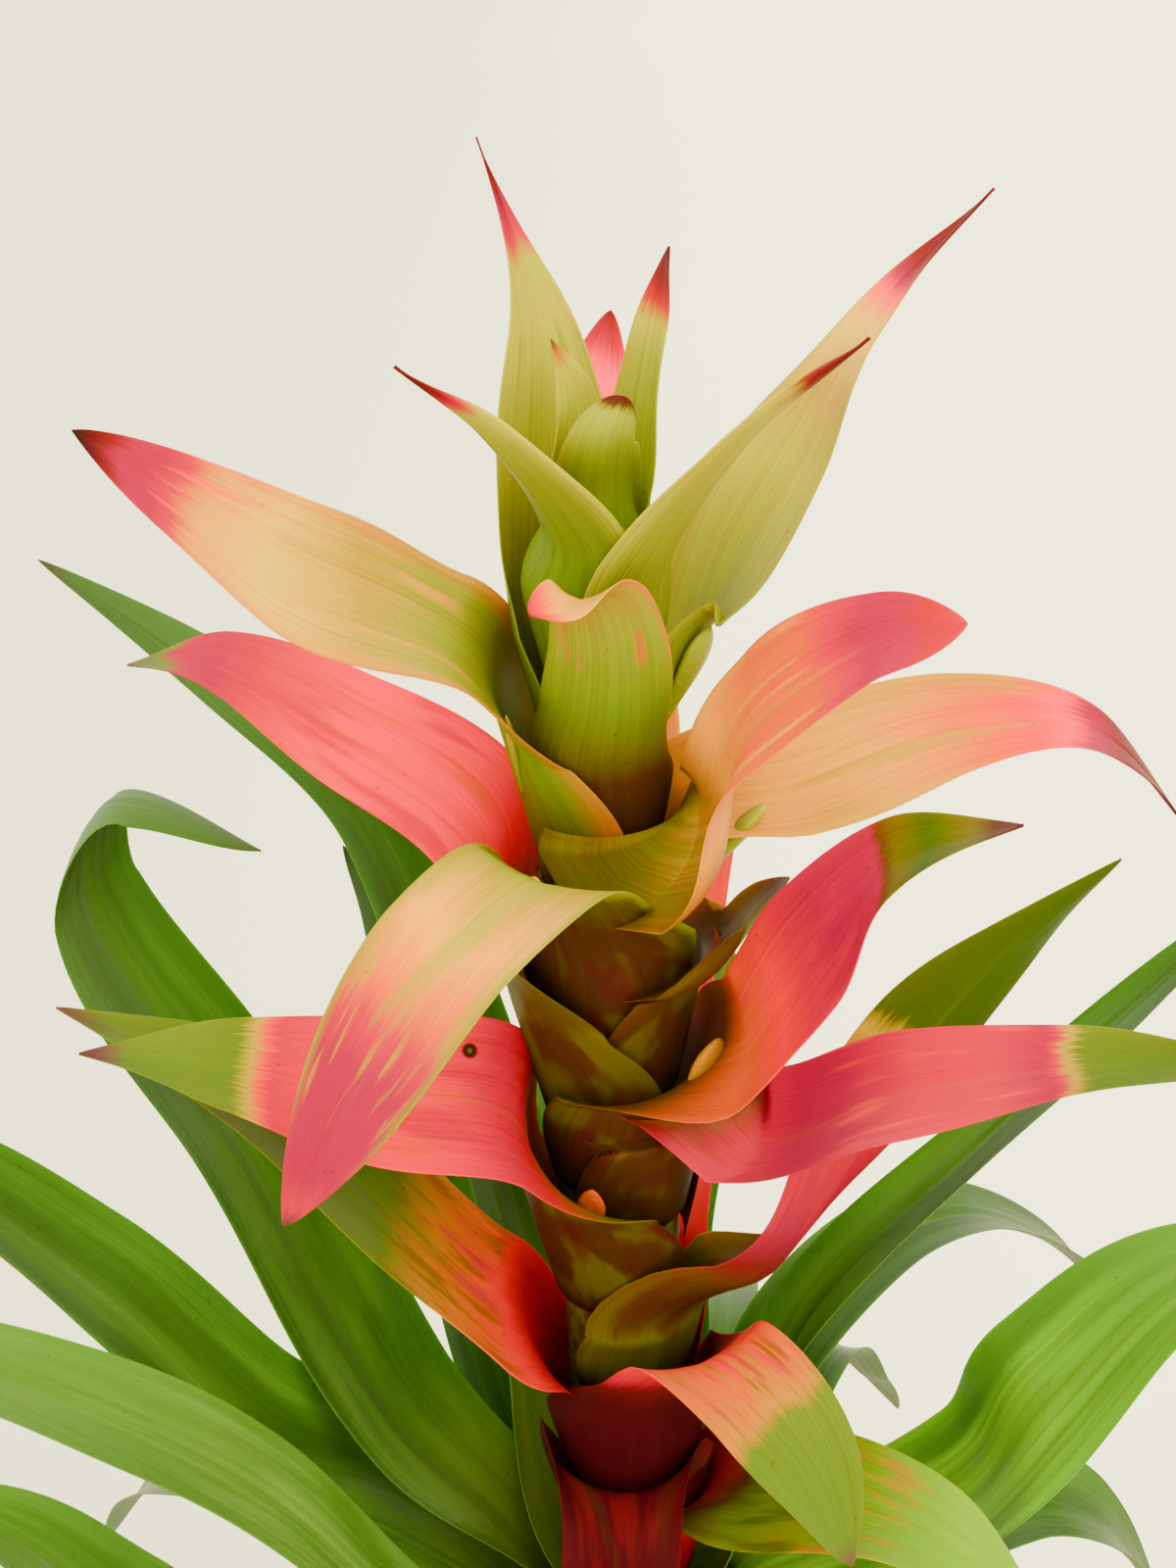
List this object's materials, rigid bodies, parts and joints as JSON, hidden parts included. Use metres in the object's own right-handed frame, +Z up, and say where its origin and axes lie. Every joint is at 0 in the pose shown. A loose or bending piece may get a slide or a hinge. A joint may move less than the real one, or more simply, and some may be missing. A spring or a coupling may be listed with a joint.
{
  "type": "guzmania kokedama",
  "caption": "Guzmania with a tall spike of yellow and pink bracts above arching green leaves, rooted in a round moss ball bound with twine.",
  "frame": {"origin": "centre of the flat foot of the moss ball, where it rests", "axes": "+Z up along the stalk, -Y towards the front of the plant, +X to its right as seen from the front"},
  "size_m": [0.3024, 0.3805, 0.5481],
  "materials": {
    "soil": "moist crumbly soil",
    "moss": "soft tufted moss",
    "twine": "twisted natural fibre",
    "stalk": "satin",
    "bract_upper": "satin, finely veined",
    "bract_middle": "satin, finely veined",
    "bract_lower": "satin, finely veined",
    "leaf": "satin, finely ribbed"
  },
  "bodies": {
    "root": {"soil_core": "soil", "moss_layer": "moss", "twine": "twine", "stalk": "stalk", "bract_01": "bract_upper", "bract_02": "bract_upper", "bract_03": "bract_upper", "bract_04": "bract_upper", "bract_05": "bract_upper", "bract_06": "bract_upper", "bract_07": "bract_upper", "bract_08": "bract_upper", "bract_09": "bract_upper", "bract_10": "bract_upper", "bract_11": "bract_upper", "bract_12": "bract_upper", "bract_13": "bract_upper", "bract_14": "bract_middle", "bract_15": "bract_middle", "bract_16": "bract_middle", "bract_17": "bract_middle", "bract_18": "bract_middle", "bract_19": "bract_middle", "bract_20": "bract_middle", "bract_21": "bract_lower", "bract_22": "bract_lower", "bract_23": "bract_lower", "bract_24": "bract_lower", "bract_25": "bract_lower", "bract_26": "bract_lower", "bract_27": "bract_lower", "leaf_01": "leaf", "leaf_02": "leaf", "leaf_03": "leaf", "leaf_04": "leaf", "leaf_05": "leaf", "leaf_06": "leaf", "leaf_07": "leaf", "leaf_08": "leaf", "leaf_09": "leaf", "leaf_10": "leaf", "leaf_11": "leaf", "leaf_12": "leaf", "leaf_13": "leaf", "leaf_14": "leaf", "leaf_15": "leaf", "leaf_16": "leaf", "leaf_17": "leaf", "leaf_18": "leaf"}
  },
  "joints": []
}
